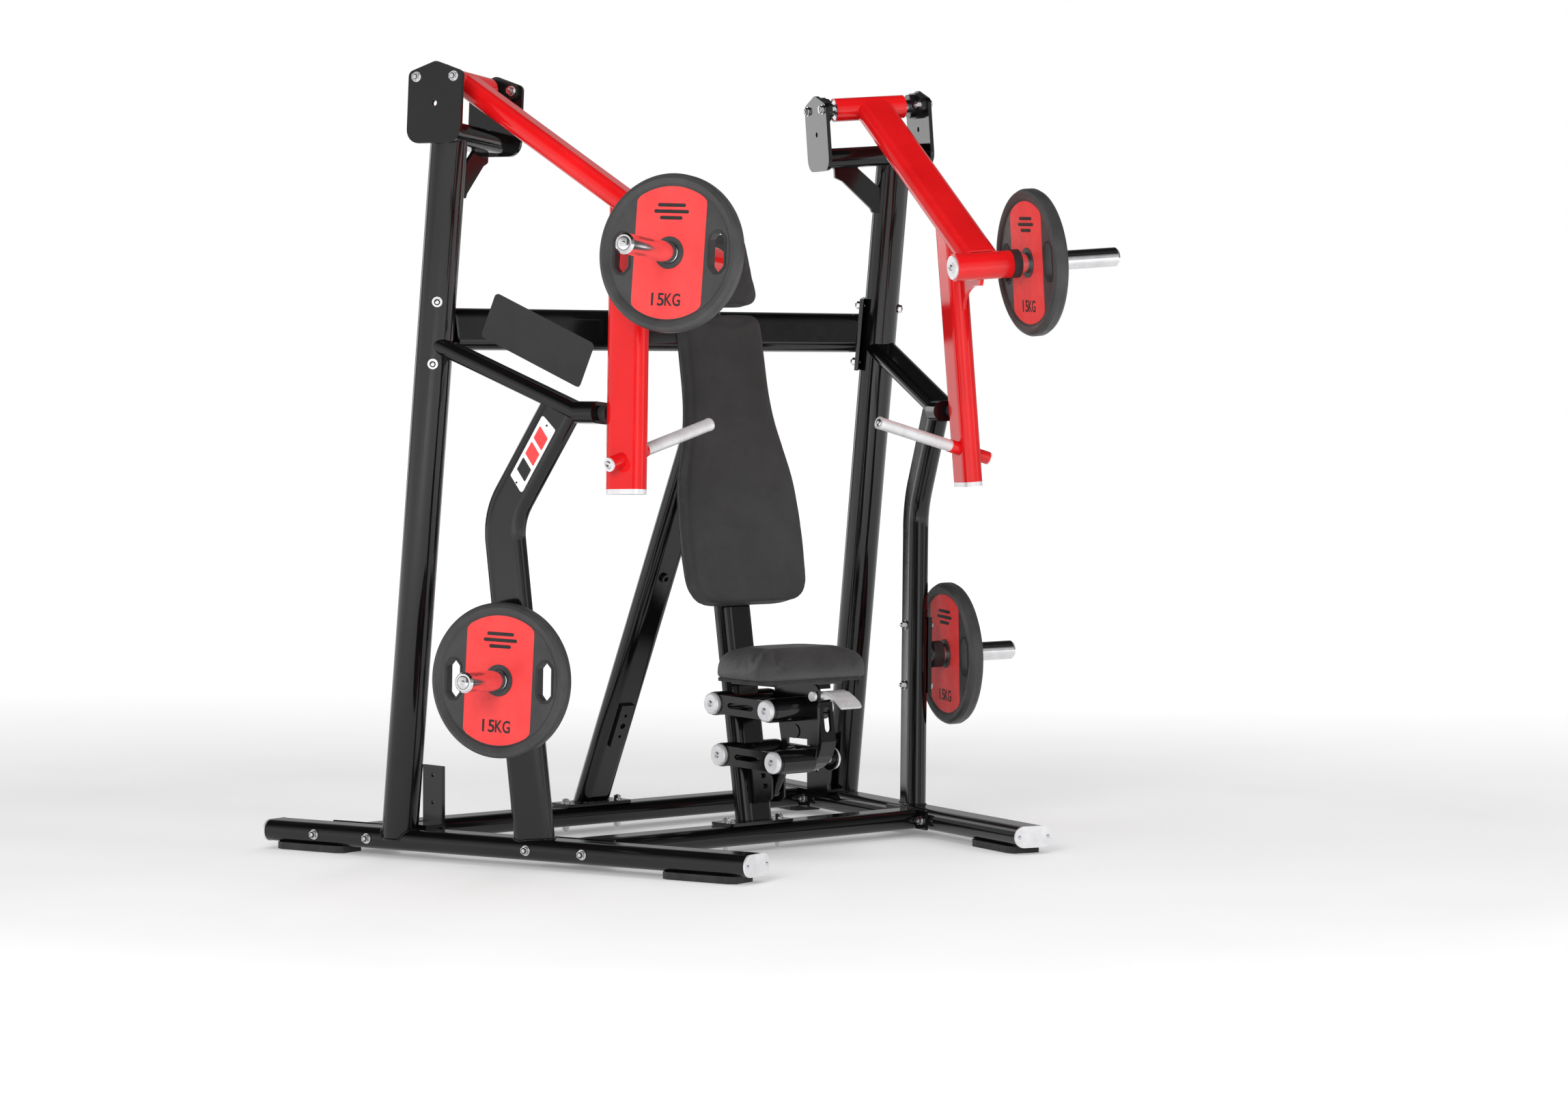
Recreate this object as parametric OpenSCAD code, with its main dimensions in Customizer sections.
// Plate-loaded seated chest press with two converging press arms.
// Units are millimetres. +X is the right-hand side, +Y the back, +Z up; the
// floor is Z = 0 and the plane X = 0 is the plane of symmetry.

/* [View] */
// Which piece is built

/* [Frame tube] */
// Long side of the flat-oval frame tube
tube_w = 104; // [90:1:120]
// Short side of the flat-oval frame tube
tube_t = 53; // [45:1:62]
// Wall of the frame tubes
tube_wall = 3; // [2:0.5:5]

/* [Base] */
// Length of each base rail
rail_len = 1440; // [1300:5:1600]
// Angle at which the rails spread toward the back
rail_splay = 15; // [10:0.5:20]
// Half distance between the rails at the front
rail_front_x = 468; // [400:1:540]
// Thickness of the feet under the rails
foot_t = 16; // [10:1:25]
// Distance of the front cross rail behind the rail fronts
front_rail_y = 527; // [480:1:580]
// Distance of the rear cross rail behind the rail fronts
rear_rail_y = 1157; // [1100:1:1220]

/* [Uprights] */
// Diameter of the round main uprights
upright_d = 90; // [76:1:102]
// Forward lean of the main uprights
upright_lean = 6.6; // [0:0.1:12]

/* [Press arms] */
// Yaw of the pivot axes and of the loading horns
arm_yaw = 21.3; // [0:0.1:30]
// Rise of the pivot axes toward the outside
arm_rise = 4.1; // [0:0.1:8]
// Drop of the loading horn below the pivot
horn_drop = 433; // [380:1:480]
// Reach of the loading horn in front of the pivot
horn_reach = 660; // [600:1:720]
// Length of the arm below the pivot
arm_drop = 985; // [900:1:1050]
// Diameter of the knurled grip
grip_d = 31; // [28:0.5:36]

/* [Loading horns and plates] */
// Diameter of the loading sleeves
sleeve_d = 50; // [48:0.5:51]
// Bore of the weight plates
plate_bore = 52; // [51:0.5:54]
// Diameter of the weight plates
plate_d = 375; // [300:5:450]
// Thickness of the weight plates
plate_t = 40; // [25:1:60]

/* [Seat and back] */
// Length of the back pad
back_len = 742; // [700:2:760]
// Thickness of the back pad
back_t = 54; // [30:1:54]
// Backward lean of the back pad
back_lean = 9.5; // [8.9:0.1:9.6]
// Width of the seat at the front
seat_w = 372; // [340:1:390]
// Depth of the seat
seat_d = 235; // [200:1:240]
// Thickness of the seat cushion
seat_t = 73; // [50:1:80]
// Centre distance of the seat links
link_len = 200; // [160:1:240]

/* [Hidden] */
$fn = 64;
e = 0.01;
yc = 261.87;                 // the body is shifted so that Y = 0 is mid depth
rail_z = foot_t + 1.5 + tube_t/2;
rail_top = rail_z + tube_t/2;
rail_y0 = -427 - yc;      // front end of the rails
fr_y = rail_y0 + front_rail_y;
rr_y = rail_y0 + rear_rail_y;
up_base = [752, 575 - yc, 43];
arm_o = [688.7, 395.3 - yc, 1905.3];
post_o = [698.8, 231.5 - yc, 850.8];
post_yaw = 27.6;
post_r = 180;             // bend radius of the front posts
low_o = [668, 200 - yc, 458];
low_rise = 1.9;
spine_y = 98 - yc;        // spine axis at z = 86
spine_lean = 8.9;
leg_lean = 23.9;
slant = atan2(horn_drop - 4, horn_reach);
tip_lean = 1.38;          // lean of the arm's lower tube
bump_slope = 22.3;

black = [0.10, 0.10, 0.11];
red = [0.82, 0.10, 0.10];
steel = [0.78, 0.78, 0.80];
rubber = [0.16, 0.16, 0.17];
pad_c = [0.20, 0.20, 0.21];

// ---------- small helpers ----------

// corner rounding of an outline: points of one fillet
function fillet(a, b, c, r, n) = let(
    u = (a - b)/norm(a - b), v = (c - b)/norm(c - b),
    h = acos(u*v)/2, m = (u + v)/norm(u + v),
    o = b + m*r/sin(h), t0 = b + u*r/tan(h), t1 = b + v*r/tan(h),
    a0 = atan2(t0[1] - o[1], t0[0] - o[0]), a1 = atan2(t1[1] - o[1], t1[0] - o[0]),
    d = a1 - a0 > 180 ? a1 - a0 - 360 : a1 - a0 < -180 ? a1 - a0 + 360 : a1 - a0)
  [for (i = [0:n]) o + r*[cos(a0 + d*i/n), sin(a0 + d*i/n)]];

// polygon with rounded corners; r is one radius or one per corner
module rpoly(p, r, n = 5) {
  k = len(p);
  q = [for (i = [0:k-1]) fillet(p[(i + k - 1)%k], p[i], p[(i + 1)%k],
       is_list(r) ? r[i] : r, n)];
  polygon([for (s = q) for (t = s) t]);
}
function box4(w, h) = [[-w/2, -h/2], [w/2, -h/2], [w/2, h/2], [-w/2, h/2]];

// flat-oval outline, long side along Y
module oval(l, t) {
  square([t, l - t], center = true);
  for (s = [-1, 1]) translate([0, s*(l - t)/2]) circle(d = t);
}
module oval_ring(l, t, w) difference() { oval(l, t); oval(l - 2*w, t - 2*w); }
// tube along +Z, long side along Y; solid when w is 0
module tube(h, l = tube_w, t = tube_t, w = tube_wall)
  linear_extrude(height = h) if (w > 0) oval_ring(l, t, w); else oval(l, t);
module pipe(h, d, id) difference() {
  cylinder(h = h, d = d);
  translate([0, 0, -1]) cylinder(h = h + 2, d = id);
}
module rodx(x0, x1, d) translate([x0, 0, 0]) rotate([0, 90, 0]) cylinder(h = x1 - x0, d = d);
module pipex(x0, x1, d, id) translate([x0, 0, 0]) rotate([0, 90, 0]) pipe(x1 - x0, d, id);

// right side as built, left side mirrored
module side(s) if (s > 0) children(); else mirror([1, 0, 0]) children();
module both() { children(); mirror([1, 0, 0]) children(); }

module in_rail() translate([rail_front_x, rail_y0, rail_z]) rotate([0, 0, -rail_splay]) children();
module in_up() translate(up_base) rotate([upright_lean, 0, 0]) children();
module in_arm() translate(arm_o) rotate([0, 0, -arm_yaw]) rotate([0, -arm_rise, 0]) children();
module in_post() translate(post_o) rotate([0, 0, -post_yaw]) rotate([0, 2, 0])
  rotate([-5.2, 0, 0]) children();
module in_low() translate(low_o) rotate([0, 0, -arm_yaw]) rotate([0, -low_rise, 0]) children();
module in_spine() translate([0, spine_y, 86]) rotate([-spine_lean, 0, 0]) children();
module in_leg() translate([0, rr_y + 18, rail_z]) rotate([leg_lean, 0, 0]) children();

// bolt with washers through a grip length g along +Z from z = 0
module bolt(g, d = 12, cap = true) {
  h = 0.62*d;
  translate([0, 0, -h - 2]) cylinder(h = h, d = 1.75*d, $fn = 6);
  translate([0, 0, -2]) cylinder(h = 2, d = 2.1*d);
  translate([0, 0, -2 - e]) cylinder(h = g + h + 8, d = d);
  translate([0, 0, g]) cylinder(h = 2, d = 2.1*d);
  translate([0, 0, g + 2]) cylinder(h = 0.8*d, d = 1.75*d, $fn = 6);
}

// ---------- base ----------

module rail_solid(g = 0) in_rail() rotate([-90, 0, 0]) linear_extrude(height = rail_len)
  rotate(90) oval(tube_w + g, tube_t + g);
// station along the rail at the depth y
function station(y) = (y - rail_y0)/cos(rail_splay);
flange_bolt = 83;         // bolts of the end flanges, either side of the cross rail
module at_rail_bolts() in_rail() for (y = [fr_y, rr_y]) for (s = [-1, 1])
  translate([0, station(y) + s*flange_bolt, 0]) children();
module rail() color(black) difference() {
  in_rail() rotate([-90, 0, 0]) linear_extrude(height = rail_len)
    rotate(90) oval_ring(tube_w, tube_t, tube_wall);
  at_rail_bolts() rodx(-80, 80, 12.4);
}
module rail_cap(y0, dir) in_rail() translate([0, y0, 0]) rotate([-90*dir, 0, 0]) {
  linear_extrude(height = 5) rotate(90) oval(tube_w + 4, tube_t + 1);
  for (x = [-1, 1]) translate([x*41, 0, 5]) cylinder(h = 1.2, d = 8);
}
module rail_caps() color(steel) both() {
  rail_cap(0, -1);
  rail_cap(rail_len, 1);
}
module foot_pad(s) in_rail() translate([0, s, -rail_z])
  linear_extrude(height = rail_z - tube_t/2) rpoly([[-36, -105], [36, -105], [46, -85], [46, 85],
    [36, 105], [-36, 105], [-46, 85], [-46, -85]], 4, 2);
module feet() color(rubber) both() for (s = [135, rail_len - 135]) foot_pad(s);
// end flange of a cross rail against the inner side of a base rail
module rail_flange(y) difference() {
  in_rail() translate([-tube_w/2 - 8, station(y) - 105, -24]) cube([8, 210, 50]);
  at_rail_bolts() rodx(-80, 0, 12.4);
}
leg_bolt = 88;            // half distance of the bolts in the leg feet
module cross_rail(y) color(black) {
  difference() {
    translate([-900, y, rail_z]) rotate([0, 90, 0]) linear_extrude(height = 1800)
      oval_ring(tube_w, tube_t - 3, tube_wall);
    both() in_rail() translate([-tube_w/2 - 8, -100, -200]) cube([900, 2*rail_len, 400]);
    for (x = [-leg_bolt, leg_bolt]) translate([x, y, 0]) cylinder(h = 100, d = 12.4);
  }
  both() rail_flange(y);
}
crt = rail_z + (tube_t - 3)/2;
module leg_foot(y) difference() {
  translate([0, y, crt]) linear_extrude(height = 8) rpoly(box4(212, 84), 10, 3);
  for (x = [-leg_bolt, leg_bolt]) translate([x, y, crt - 1]) cylinder(h = 10, d = 12.4);
}

// ---------- rear frame ----------

spine_top = 1470;         // height of the spine above its foot
module spine_solid(h = spine_top) in_spine() translate([0, 0, -60]) rotate(90)
  tube(h + 60, tube_w, tube_t, 0);
pad_bolt_at = [610, 800, 1150, 1330, 1420];   // stations of the pad bolts up the spine
module at_pad_bolts() in_spine() for (z = pad_bolt_at)
  translate([0, tube_t/2, z]) rotate([90, 0, 0]) children();
module floor_cut() translate([-300, -900, -400]) cube([600, 1800, 400 + crt + 8]);
module spine() color(black) {
  difference() {
    in_spine() translate([0, 0, -60]) rotate(90) tube(spine_top + 60);
    floor_cut();
    at_pad_bolts() translate([0, 0, -20]) cylinder(h = 100, d = 10.4);
    for (c = [ur, lr]) translate([0, c[0], c[1]]) rodx(-60, 60, 20.8);
  }
  leg_foot(fr_y);
}
leg_in = 1;               // the leg is this much narrower than the spine it is welded to
module rear_leg() color(black) {
  difference() {
    union() {
      in_leg() translate([0, 0, -60]) rotate(90) tube(1400, tube_w - leg_in, tube_t);
      in_leg() translate([-22, -tube_t/2 - 9, 215]) cube([44, 10, 120]);
      in_leg() translate([0, -tube_t/2 - 8, 700]) rotate([-90, 0, 0]) cylinder(h = 9.5, d = 26);
    }
    floor_cut();
    spine_solid(2600);
    in_spine() translate([-200, -1060, 0]) cube([400, 1060, 2600]);
    in_leg() for (z = [245, 275, 305]) translate([0, -tube_t/2 - 10, z]) rotate([-90, 0, 0])
      cylinder(h = 9, d = z == 275 ? 16 : 9);
    in_leg() translate([0, -tube_t/2 - 9, 700]) rotate([-90, 0, 0]) cylinder(h = 7, d = 13);
  }
  leg_foot(rr_y);
}
cross_y = 462 - yc;
cross_z = 1308;
bridge_x = 181;
bridge_half = [[0, 333 - yc], [40, 333 - yc], [160, cross_y - tube_t/2], [216, cross_y - tube_t/2],
  [216, cross_y - tube_t/2 - 8], [163, cross_y - tube_t/2 - 8], [44, 325 - yc], [44, 306 - yc],
  [0, 306 - yc]];
module spine_bridge() color(black) difference() {
  both() translate([0, 0, cross_z - 30]) linear_extrude(height = 60) polygon(bridge_half);
  spine_solid();
  both() translate([bridge_x, cross_y, cross_z]) rotate([90, 0, 0]) cylinder(h = 60, d = 12.4);
}

// ---------- side frames ----------

bolt_yaw = 50;
module in_joint(z) in_up() translate([0, 0, z]) rotate([0, 0, -bolt_yaw]) children();
module up_solid(g = 0) in_up() translate([0, 0, -40]) cylinder(h = 2200, d = upright_d + g);
module head_tube_solid(g = 0) in_arm() translate([-152, 5, -127.5]) rotate([0, 90, 0])
  linear_extrude(height = 283) oval(tube_w + g, tube_t + g);
joint_at = [1191, 1343];   // bolt stations up the uprights
module upright() color(black) difference() {
  in_up() translate([0, 0, -10]) pipe(1760, upright_d, upright_d - 7);
  rail_solid(0);
  translate([0, -900, -800]) cube([1500, 1800, 800 + rail_z]);
  head_tube_solid(0);
  in_arm() translate([-300, -300, -127.5]) cube([600, 600, 600]);
  for (z = joint_at) in_joint(z) rodx(-80, 80, 12.4);
}
module mid_flange() difference() {
  in_joint(1267) translate([-upright_d/2 - 10, -43, -96]) cube([10, 86, 192]);
  for (z = joint_at) in_joint(z) rodx(-80, 0, 12.4);
}
module mid_cross() color(black) {
  difference() {
    translate([-760, cross_y, cross_z]) rotate([0, 90, 0]) linear_extrude(height = 1520)
      rotate(90) oval_ring(tube_w, tube_t, tube_wall);
    both() in_joint(1267) translate([-upright_d/2 - 10, -400, -400]) cube([900, 800, 800]);
    both() translate([bridge_x, cross_y + 40, cross_z]) rotate([90, 0, 0]) cylinder(h = 120, d = 12.4);
  }
  both() mid_flange();
}
module side_brackets() color(black) both() side_bracket();
module side_bracket() difference() {
  union() {
    translate([651, 521 - yc, rail_top - 14]) cube([8, 79, 166]);
    translate([651, 521 - yc, rail_top]) cube([60, 79, 8]);
  }
  rail_solid(0);
  up_solid(1);
  for (z = [60, 128]) translate([640, 561 - yc, rail_top + z]) rodx(0, 40, 11);
}
// bent front post: two straight legs and the bend between them, which is a hair thicker
bend = 35.7;              // turn of the bend
swell = 0.3;              // extra thickness of the bend
module post_shape(l, t) translate([0, -post_r, -post_r*tan(bend/2)]) {
  translate([0, post_r, -900]) linear_extrude(height = 901) oval(l, t);
  rotate([90, 0, 90]) rotate_extrude(angle = bend) translate([post_r, 0]) rotate(90)
    oval(l + swell, t + swell);
  rotate([bend, 0, 0]) translate([0, post_r, -1]) linear_extrude(height = 361) oval(l, t);
}
module post() color(black) difference() {
  in_post() post_shape(tube_w, tube_t);
  in_post() post_shape(tube_w - 2*tube_wall, tube_t - 2*tube_wall);
  rail_solid(0);
  translate([0, -900, -800]) cube([1500, 1800, 800 + rail_z]);
  bumper_tube(0);
  in_bumper() translate([-200, 0, -200]) cube([400, 400, 900]);
  in_arm() translate([-100, -460, -830]) cube([200, 104, 100]);
  in_post() for (z = [-79, 79]) translate([0, -7, low_z + z]) rodx(-60, 60, 12.4);
}
low_z = -395;
module in_bumper() in_arm() translate([0, 58, -631.4]) rotate([90 + bump_slope, 0, 0]) children();
module bumper_tube(w) in_bumper() rotate(90) tube(450, 80, 40, w);
module bumper_arm() color(black) {
  difference() {
    bumper_tube(tube_wall);
    up_solid(0);
    in_arm() translate([-60, -458, -900]) cube([120, 100, 300]);
    in_arm() translate([-100, 58, -900]) cube([200, 200, 500]);
  }
  in_arm() translate([0, -358, -802]) rotate([90, 0, 0]) rotate(90) linear_extrude(height = 54)
    oval(tube_w, tube_t);
}
module bumpers() color(rubber) both() bumper();
module bumper() in_arm() translate([0, -412, -802]) rotate([90, 0, 0]) {
  cylinder(h = 14, d = 36);
  translate([0, 0, 14]) cylinder(h = 3.2, d1 = 36, d2 = 30);
}
// information placard, on the left bumper arm only
module in_placard() in_arm() translate([0, -72, -617]) rotate([bump_slope + 2, 0, 0])
  rotate([0, 8, 0]) children();
module placard() color(black) side(-1) in_placard() {
  rotate([90, 0, -90]) translate([0, 0, -1.5]) linear_extrude(height = 3)
    translate([152, 58]) rpoly(box4(304, 116), 10, 4);
  for (y = [-14, -290]) translate([-10, y - 8, 0]) cube([8.5, 16, 24]);
}

// ---------- pivot heads ----------

head_pts = [[-75, -160], [75, -160], [75, 14], [4, 39], [-4, 39], [-75, 14]];
module head_plate(x) translate([x, 0, 0]) rotate([90, 0, 90]) linear_extrude(height = 10)
  difference() {
    rpoly(head_pts, [34, 34, 16, 12, 12, 16], 6);
    for (s = [-1, 1]) translate([s*52, 1.5]) circle(d = 12.6);
    translate([0, -63]) circle(d = 14);
  }
module pivot_head() color(black) {
  in_arm() { head_plate(-162); head_plate(131); }
  in_arm() translate([-152, 5, -127.5]) rotate([0, 90, 0]) linear_extrude(height = 283)
    oval_ring(tube_w, tube_t, tube_wall);
  difference() {
    in_arm() translate([0, 5, 0]) rotate([90, 0, 0]) linear_extrude(height = 10)
      rpoly([[-119, -140], [-119, -179], [-97, -190], [-22, -266], [-18, -278], [60, -280],
             [60, -215], [9, -215], [-52, -157], [-52, -140]], [1, 6, 4, 4, 6, 1, 1, 2, 2, 1], 2);
    head_tube_solid(0);
    up_solid(0);
    in_arm() translate([30, -50, -400]) cube([200, 100, 300]);
  }
}
// two-bolt flange bearing: housing with its outer race
module housing() difference() {
  union() {
    linear_extrude(height = 13) rotate(90) rpoly([[-68, -14], [-18, -34], [18, -34], [68, -14],
      [68, 14], [18, 34], [-18, 34], [-68, 14]], [12, 20, 20, 12, 12, 20, 20, 12], 4);
    cylinder(h = 27, d = 62);
  }
  translate([0, 0, -1]) cylinder(h = 30, d = 35.1);
  for (s = [-1, 1]) translate([-1.5, s*52, -1]) cylinder(h = 15, d = 12.6);
}
module bearing_housings() color(steel) both() in_arm() {
  translate([-152, 0, 0]) rotate([0, 90, 0]) housing();
  translate([131, 0, 0]) mirror([1, 0, 0]) rotate([0, 90, 0]) housing();
}

// ---------- press arm ----------

tip_o = [0, -474, -433];      // a point on the axis of the lower tube
module slant_solid(w) in_arm() translate([0, 0, 4]) rotate([90 + slant, 0, 0]) rotate(90)
  tube(790, tube_w, tube_t, w);
module tip_tube(w) in_arm() translate(tip_o) rotate([-tip_lean, 0, 0])
  translate([0, 0, -arm_drop + horn_drop]) tube(700, tube_w, tube_t, w);
module horn_hub(d, x0 = -78, x1 = 75) in_arm() translate([0, -horn_reach, -horn_drop]) rodx(x0, x1, d);
module arm_web() in_arm() translate([5, 0, 0]) rotate([90, 0, -90]) linear_extrude(height = 10)
  polygon(concat([[500, -330], [655, -425], [655, -468], [647, -483], [618, -482]],
    [for (i = [0:6]) [618 - 88*sin(i*13.5), -482 - 60*(1 - cos(i*13.5)) - 8*i/6]], [[500, -566]]));
hand_a = [-265.4, -564.9, -813.4];
hand_b = [66.7, -472.3, -929.4];
module along(a, b) {
  d = b - a;
  translate(a) rotate([0, acos(d[2]/norm(d)), atan2(d[1], d[0])]) children();
}
hand_l = norm(hand_b - hand_a);
module arm() color(red) {
  in_arm() pipex(-110, 89, 62, 54);
  difference() {
    slant_solid(tube_wall);
    in_arm() rodx(-200, 200, 62);
    in_arm() translate([-200, 0, -200]) cube([400, 400, 400]);
    horn_hub(70, -200, 200);
    in_arm() translate([-200, -1100, -900]) cube([400, 1100 - horn_reach, 900]);
  }
  difference() {
    tip_tube(tube_wall);
    slant_solid(0);
    in_arm() rotate([slant, 0, 0]) translate([-200, -1200, 4]) cube([400, 1400, 400]);
    in_arm() along(hand_a, hand_b) cylinder(h = hand_l, d = 34);
  }
  in_arm() translate([0, -horn_reach, -horn_drop]) pipex(-78, 75, 70, sleeve_d);
  difference() {
    arm_web();
    slant_solid(0);
    tip_tube(0);
    horn_hub(70, -200, 200);
    in_arm() rotate([slant, 0, 0]) translate([-200, -1200, 4]) cube([400, 1400, 400]);
  }
  in_arm() along(hand_a, hand_b) difference() {
    translate([0, 0, 232]) cylinder(h = hand_l - 232 - 5, d = 34);
    translate([0, 0, 231]) cylinder(h = 120, d = 24);
  }
}
module shaft() color(steel) in_arm() {
  rodx(-149.5, 128.5, 25);
  for (x = [-150 + 3.5, 131 - 36.5]) pipex(x, x + 33, 35, 25);
  for (x = [-108, 77]) pipex(x, x + 10, 54, 25);
}
module arm_trim() color(steel) in_arm() {
  translate([0, -horn_reach, -horn_drop]) {
    rodx(-84, -78, 60);
    rodx(-86, -84, 28);
  }
  translate(tip_o) rotate([-tip_lean, 0, 0]) translate([0, 0, -arm_drop + horn_drop - 12])
    tube(12, tube_w, tube_t, 0);
  along(hand_a, hand_b) {
    translate([0, 0, hand_l - 5]) pipe(5, 34, 12);
    translate([0, 0, -6]) pipe(6, grip_d + 1, 12);
  }
}
module grip() color(steel) in_arm() along(hand_a, hand_b) pipe(232, grip_d, 24);
// loading sleeve with a ring groove just in front of the plate at g
module horn(x0, x1, g) {
  difference() {
    rodx(x0, x1 - 6, sleeve_d);
    rodx(x0 - 1, x1 - 16, sleeve_d - 12);
    pipex(g - 4, g, sleeve_d + 2, sleeve_d - 2);
  }
  translate([x1 - 6, 0, 0]) rotate([0, 90, 0]) cylinder(h = 6, d1 = sleeve_d, d2 = sleeve_d - 9);
}
module in_horn() in_arm() translate([0, -horn_reach, -horn_drop]) children();
module horn_up() color(steel) in_horn() horn(-77.9, 377, 160);
module collar_up() color(rubber) in_horn() pipex(75, 98, 73, sleeve_d);
module horn_low() color(steel) {
  difference() {
    in_low() horn(10, 280, 120);
    in_post() translate([-300, -200, low_z - 200]) cube([300 + tube_t/2 + 10, 400, 400]);
  }
  difference() {
    in_post() translate([tube_t/2, -37, low_z - 100]) cube([10, 60, 200]);
    in_post() for (z = [-79, 79]) translate([0, -7, low_z + z]) rodx(0, 60, 12.4);
  }
}
module collar_low() color(rubber) in_low() pipex(44, 70, 70, sleeve_d);

// ---------- weight plates ----------

module plate_body() difference() {
  rotate_extrude() polygon([[plate_bore/2, -15], [38, -15], [38, -13], [158, -13], [163, -17],
    [170, -19], [plate_d/2 - 12, -plate_t/2], [plate_d/2 - 4, -16], [plate_d/2, -9],
    [plate_d/2, 9], [plate_d/2 - 4, 16], [plate_d/2 - 12, plate_t/2], [170, 19], [163, 17],
    [158, 13], [38, 13], [38, 15], [plate_bore/2, 15]]);
  for (s = [-1, 1]) translate([s*126, 0, -30]) linear_extrude(height = 60)
    rpoly([[-18, -32], [-6, -46], [6, -46], [18, -32], [18, 32], [6, 46], [-6, 46], [-18, 32]], 5, 3);
}
module plate_at() color(rubber) rotate([0, 90, 0]) rotate(90) plate_body();
plate_up_x = 138.5;
plate_low_x = 98;
module plate_up() in_arm() translate([plate_up_x, -horn_reach, -horn_drop]) plate_at();
module plate_low() in_low() translate([plate_low_x, 0, 0]) plate_at();

// ---------- back and head rest ----------

// smooth curve through points, n steps between neighbours
function curve(p, n = 5) = let(k = len(p)) [for (i = [0:k-2]) for (j = [0:n-1]) let(
    a = p[max(i - 1, 0)], b = p[i], c = p[i + 1], d = p[min(i + 2, k - 1)], t = j/n)
  0.5*(2*b + (c - a)*t + (2*a - 5*b + 4*c - d)*t*t + (3*b - a - 3*c + d)*t*t*t)];
function full(h) = concat(h, [for (i = [len(h)-1:-1:0]) [-h[i][0], h[i][1]]]);
// half outlines of the pads, from the bottom up
back_half = curve([[120, 0], [152, 6], [176, 24], [189, 55], [193, 110], [194, 165], [191, 235],
  [181, 320], [160, 400], [142, 470], [133, 545], [131, 640], [129, 700], [121, 728], [104, 740],
  [96, 742]]);
module in_back() translate([0, 84 - yc, 623]) rotate([-back_lean, 0, 0]) children();
module pad_slab(y, t, h) translate([0, y, 0]) rotate([90, 0, 0]) linear_extrude(height = t)
  polygon(full(h));
function inset(h, d) = [for (p = h) [p[0] - d, d + p[1]*(1 - 2*d/h[len(h)-1][1])]];
module back_pad() color(pad_c) in_back() scale([1, 1, back_len/742]) pad_slab(back_t, back_t, back_half);
board_t = 8;
module back_board() color(black) difference() {
  in_back() pad_slab(back_t + board_t, board_t, inset(back_half, 12));
  spine_solid();
  at_pad_bolts() translate([0, 0, 40]) cylinder(h = 40, d = 10.4);
}
head_t = 38;
head_half = curve([[92, 0], [120, 6], [134, 22], [136, 45], [128, 110], [118, 162], [108, 182],
  [88, 190]]);
module in_head() translate([0, 225 - yc, 1371]) rotate([-spine_lean, 0, 0]) children();
module head_pad() color(pad_c) in_head() pad_slab(head_t, head_t, head_half);
module head_board() color(black) difference() {
  in_head() pad_slab(head_t + 6, 6, inset(head_half, 10));
  spine_solid();
  at_pad_bolts() translate([0, 0, 40]) cylinder(h = 40, d = 10.4);
}

// ---------- seat linkage ----------

ur = [141 - yc, 373];     // upper rear pivot (y, z)
lr = [115 - yc, 246];     // lower rear pivot
seat_a = 2;               // slope of the links below level, toward the front
uf = [ur[0] - link_len*cos(seat_a), ur[1] - link_len*sin(seat_a)];
lf = [lr[0] - link_len*cos(seat_a), lr[1] - link_len*sin(seat_a)];
link_x = 90;              // inner face of the link plates
module link(p, q) color(black) {
  turn = atan2(q[1] - p[1], q[0] - p[0]);
  for (x = [link_x, -link_x - 6]) translate([x, 0, 0]) rotate([90, 0, 90]) linear_extrude(height = 6)
    difference() {
      union() {
        for (c = [p, q]) translate(c) circle(d = 58);
        translate(p) rotate(turn) translate([0, -24]) square([link_len, 48]);
      }
      translate((p + q)/2) rotate(turn)
        rpoly([[-50, 0], [-41, -7], [41, -7], [50, 0], [41, 7], [-41, 7]], 1.5, 1);
      for (c = [p, q]) translate(c) circle(d = 20);
    }
}
// pivot pin with a disc cap at each end
module pin(c) color(steel) translate([0, c[0], c[1]]) {
  rodx(-link_x - 18, link_x + 18, 20);
  both() {
    rodx(link_x + 6, link_x + 14, 54);
    translate([link_x + 14, 0, 0]) rotate([0, 90, 0]) cylinder(h = 4, d1 = 54, d2 = 46);
  }
}
module link_up() link(ur, uf);
module link_low() link(lr, lf);
module link_pins_up() { pin(ur); pin(uf); }
module link_pins_low() { pin(lr); pin(lf); }
// fixed sleeves of the rear pivots on both sides of the spine
sleeve_x = link_x - 1;
module sleeve(c, bore) translate([0, c[0], c[1]]) pipex(-sleeve_x, sleeve_x, 60, bore);
module rear_sleeves() color(black) difference() {
  for (c = [ur, lr]) sleeve(c, 20.1);
  spine_solid();
}
seat_z = 436;             // top of the carrier
front_y = -96 - yc;       // front face of the carrier
open_bore = 22.6;         // the open pivot has play
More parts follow.
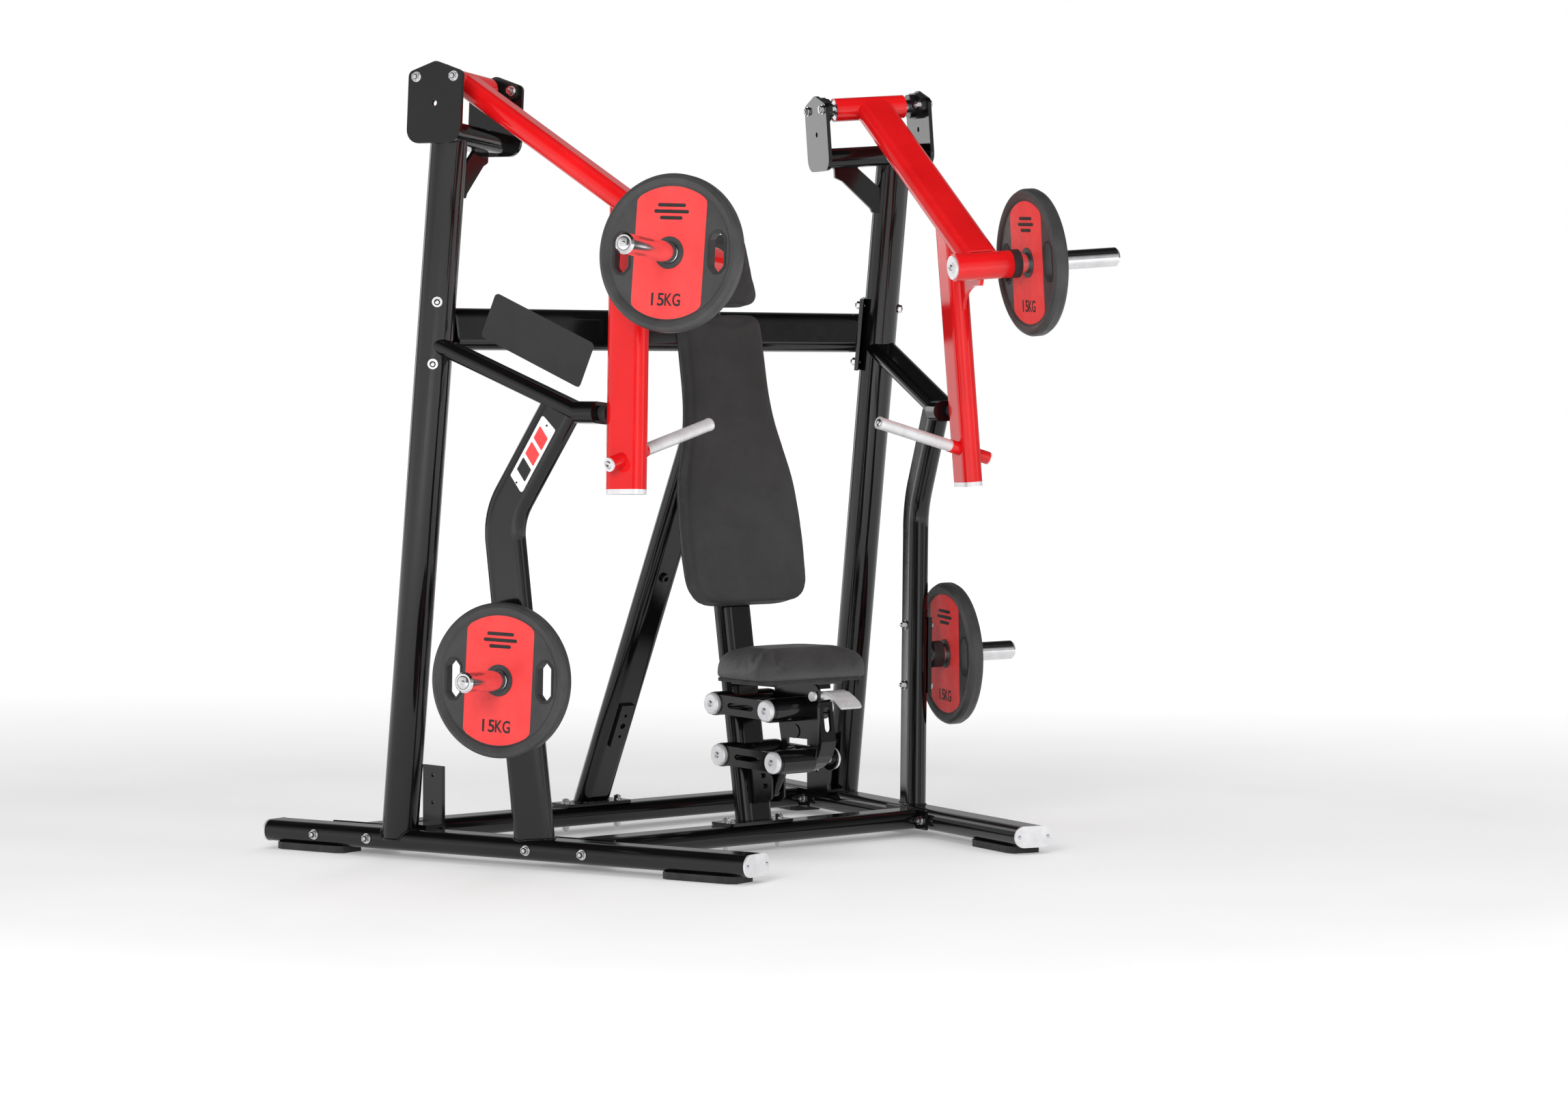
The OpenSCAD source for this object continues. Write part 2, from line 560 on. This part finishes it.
// upright web of the carrier, with the front plate and the strap bent round the lower pivot
web_x = 14;               // left face of the web
module plate_yz(x, w, p) translate([x, -yc, 0]) rotate([90, 0, 90]) linear_extrude(height = w)
  polygon(p);
module carrier() color(black) {
  difference() {
    union() {
      sleeve(uf, 20.1);
      translate([0, lf[0], lf[1]]) pipex(-sleeve_x, web_x + 5, 60, open_bore);
      plate_yz(web_x, 8, [[38, seat_z - 7], [30, 380], [4, 255], [-34, 220], [-88, 216], [-112, 236],
        [-125, 286], [-122, 376], [-126, 384], [-126, 416], [-120, 424], [-112, seat_z - 7]]);
      plate_yz(web_x + 7, 49, [[-131, 286], [-123, 288], [-101, seat_z - 7], [-109, seat_z - 7]]);
      plate_yz(web_x + 7, 49, concat(strap_out,
        [for (i = [len(strap_out) - 1:-1:0]) strap_out[i] + [7*sin(strap_a[i]), 7*cos(strap_a[i])]]));
      translate([0, -40 - yc, 309]) rodx(web_x - 3, web_x + 1, 36);
      translate([-110, -110 - yc, seat_z - 8]) cube([220, 170, 8]);
    }
    translate([0, uf[0], uf[1]]) rodx(-100, 100, 20.1);
    translate([0, lf[0], lf[1]]) rodx(-100, 100, open_bore);
    translate([web_x + 34, -90 - yc, 309]) rotate([90, 0, 0]) linear_extrude(height = 60)
      rpoly([[-11, 0], [11, 0], [11, 62], [-11, 62]], 10.9, 5);
    translate([web_x + 16, -160 - yc, 384]) cube([60, 80, 33]);
    translate([web_x - 5, -96 - yc, 275]) cube([18, 84, 17]);
    translate(lever_o) rodx(-40, 0, 14.1);
  }
  translate([0, st_b[0], st_b[1]]) rodx(-12, web_x + 1, 10);
}
// outer line of the strap from the foot of the front plate, with the tilt of its normal
strap_out = [[-131, 287], [-128, 270], [-119, 250], [-105, 232], [-86, 219], [-62, 210], [-36, 204],
  [-12, 201]];
strap_a = [85, 75, 62, 45, 28, 18, 10, 6];
module seat_board() color(black) translate([0, -26 - yc, seat_z]) linear_extrude(height = 8)
  rpoly([[-174, -103], [174, -103], [142, 110], [-142, 110]], 24, 4);
module seat_pad() color(pad_c) translate([0, -26 - yc, seat_z + 8.2]) linear_extrude(height = seat_t)
  rpoly([[-seat_w/2, -115], [seat_w/2, -115], [seat_w/2 - 34, seat_d - 115],
    [-seat_w/2 + 34, seat_d - 115]], [32, 32, 55, 55], 6);
lever_o = [30, -112 - yc, 400];
module seat_lever() color(steel) translate(lever_o) {
  rodx(-18, 12, 14);
  rodx(-26, -18, 24);
  translate([8, 0, 0]) rotate([90, 0, 90]) linear_extrude(height = 66)
    polygon([[8, 11], [-10, 13], [-28, 9], [-50, -2], [-68, -14], [-76, -25], [-71, -30], [-60, -22],
             [-44, -9], [-26, 1], [-11, 4], [-9, -9], [8, -9]]);
}

// ---------- lift strut ----------

st_a = [20 - yc, 152];    // lower eye
st_b = [-44 - yc, 262];   // upper eye on the carrier
st_n = norm(st_b - st_a);
st_ang = atan2(st_a[0] - st_b[0], st_b[1] - st_a[1]);
module in_strut() translate([0, st_a[0], st_a[1]]) rotate([st_ang, 0, 0]) children();
module strut_bracket() color(black) difference() {
  union() {
    both() translate([18, 0, 0]) rotate([90, 0, 90]) linear_extrude(height = 6) polygon([
      [120 - yc, 120], [120 - yc, 212], [20 - yc, 212], [4 - yc, 196], [4 - yc, 140], [20 - yc, 128]]);
    translate([0, st_a[0], st_a[1]]) rodx(-18.5, 18.5, 10);
    both() for (c = [[39, 194], [31, 169]]) translate([0, c[0] - yc, c[1]]) rodx(24, 31, 12);
  }
  spine_solid();
}
module strut_tube() color(black) in_strut() difference() {
  union() {
    rodx(-8, 8, 22);
    translate([0, 0, 7]) cylinder(h = st_n - 32, d = 22);
  }
  rodx(-9, 9, 10.1);
  translate([0, 0, 16]) cylinder(h = 150, d = 10.1);
}
module strut_rod() color(steel) in_strut() difference() {
  union() {
    translate([0, 0, 20]) cylinder(h = st_n - 26, d = 10);
    translate([0, 0, st_n]) rodx(-8, 8, 22);
  }
  translate([0, 0, st_n]) rodx(-9, 9, 13);
}

// ---------- fasteners ----------

module base_bolts() color(steel) {
  both() at_rail_bolts() translate([tube_w/2, 0, 0]) rotate([0, -90, 0]) bolt(tube_w + 8);
  for (y = [fr_y, rr_y]) for (x = [-leg_bolt, leg_bolt])
    translate([x, y, crt + 8]) rotate([180, 0, 0]) bolt(tube_t - 3 + 8);
}
module frame_bolts() color(steel) {
  both() {
    for (z = joint_at) in_joint(z) translate([upright_d/2, 0, 0]) rotate([0, -90, 0]) bolt(upright_d + 10);
    translate([bridge_x, cross_y - tube_t/2 - 8, cross_z]) rotate([-90, 0, 0]) bolt(tube_t + 8);
    in_post() for (z = [-79, 79])
      translate([tube_t/2 + 10, -7, low_z + z]) rotate([0, -90, 0]) bolt(tube_t + 10);
  }
  at_pad_bolts() {
    translate([0, 0, -8]) cylinder(h = 6, d = 18, $fn = 6);
    translate([0, 0, -2]) cylinder(h = 2, d = 22);
    translate([0, 0, -2]) cylinder(h = 60, d = 10);
  }
}
module pivot_bolts() color(steel) both() in_arm() for (s = [-52, 52]) {
  translate([141, s, 1.5]) rotate([0, -90, 0]) bolt(23);
  translate([-162, s, 1.5]) rotate([0, 90, 0]) bolt(23);
}

// ---------- nodes ----------

side(-1) rail();  // rail_l
rail();  // rail_r
rail_caps();
feet();
cross_rail(fr_y);  // front_cross_rail
cross_rail(rr_y);  // rear_cross_rail
rear_leg();
spine();
spine_bridge();
side(-1) upright();  // upright_l
upright();  // upright_r
side_brackets();
side(-1) post();  // post_l
post();  // post_r
side(-1) bumper_arm();  // bumper_arm_l
bumper_arm();  // bumper_arm_r
bumpers();
placard();
mid_cross();
side(-1) pivot_head();  // pivot_head_l
pivot_head();  // pivot_head_r
bearing_housings();
base_bolts();
frame_bolts();
pivot_bolts();
side(-1) arm();  // arm_l
arm();  // arm_r
side(-1) shaft();  // shaft_l
shaft();  // shaft_r
side(-1) arm_trim();  // arm_trim_l
arm_trim();  // arm_trim_r
side(-1) grip();  // grip_l
grip();  // grip_r
side(-1) horn_up();  // horn_up_l
horn_up();  // horn_up_r
side(-1) collar_up();  // collar_up_l
collar_up();  // collar_up_r
side(-1) horn_low();  // horn_low_l
horn_low();  // horn_low_r
both() collar_low();  // collars_low
side(-1) plate_up();  // plate_up_l
plate_up();  // plate_up_r
side(-1) plate_low();  // plate_low_l
plate_low();  // plate_low_r
back_board();
back_pad();
head_board();
head_pad();
rear_sleeves();
link_up();
link_low();
link_pins_up();
link_pins_low();
carrier();
seat_board();
seat_pad();
seat_lever();
strut_bracket();
strut_tube();
strut_rod();
